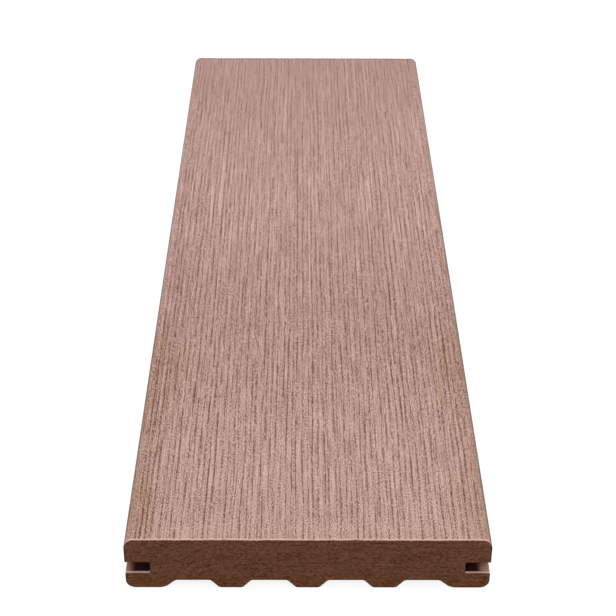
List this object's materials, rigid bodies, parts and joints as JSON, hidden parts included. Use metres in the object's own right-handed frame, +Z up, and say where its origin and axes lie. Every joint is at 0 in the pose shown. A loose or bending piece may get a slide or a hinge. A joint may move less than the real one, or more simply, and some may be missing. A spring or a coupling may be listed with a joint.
{
  "type": "grooved composite decking board",
  "caption": "Grooved composite decking board with an embossed wood-grain face, clip grooves along both long edges and a recessed underside.",
  "frame": {"origin": "middle of the underside, level with the feet that the board rests on", "axes": "+X across the board's width, +Y along its length, +Z up through the walking face"},
  "size_m": [0.14, 0.457, 0.024],
  "materials": {
    "capstock": "matte"
  },
  "bodies": {
    "root": {"deck_board": "capstock"}
  },
  "joints": []
}
